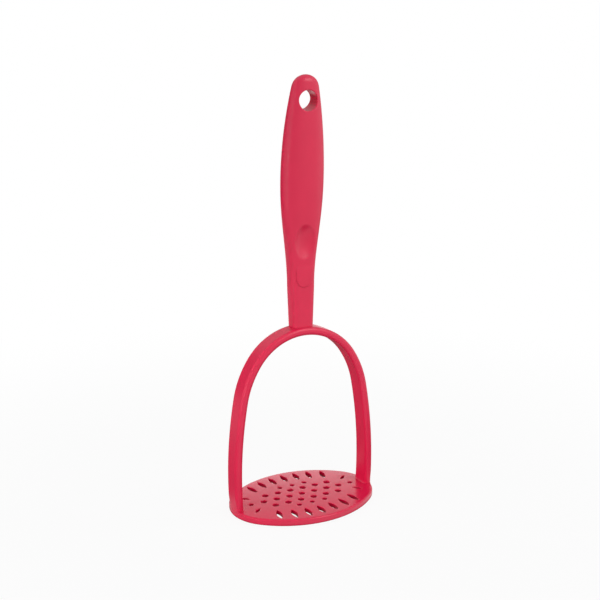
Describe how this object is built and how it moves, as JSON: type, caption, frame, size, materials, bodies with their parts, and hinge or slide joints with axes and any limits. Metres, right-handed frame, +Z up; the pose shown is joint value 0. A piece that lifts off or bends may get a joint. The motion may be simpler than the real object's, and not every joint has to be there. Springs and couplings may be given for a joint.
{
  "type": "potato masher",
  "caption": "Hand potato masher: contoured grip with a hanging hole and thumb dish, flat neck, strap bow and an oval perforated plate, all in soft red skin over a stiff frame.",
  "frame": {"origin": "middle of the plate, at the level of its rim's underside, which the tool stands on", "axes": "+Z up along the handle, +X along the plate and in the plane of the bow, the thumb dish faces -Y"},
  "size_m": [0.0956, 0.0692, 0.26],
  "materials": {
    "soft_red": "satin crimson silicone skin",
    "core": "plain moulded stiff plastic",
    "steel": "plain rolled steel"
  },
  "bodies": {
    "root": {"grip": "soft_red", "grip_core": "core", "stem_bar": "steel", "neck_sleeve": "soft_red", "bow_cover": "soft_red", "bow_strip": "steel", "plate_cover": "soft_red", "plate_insert": "steel"}
  },
  "joints": []
}
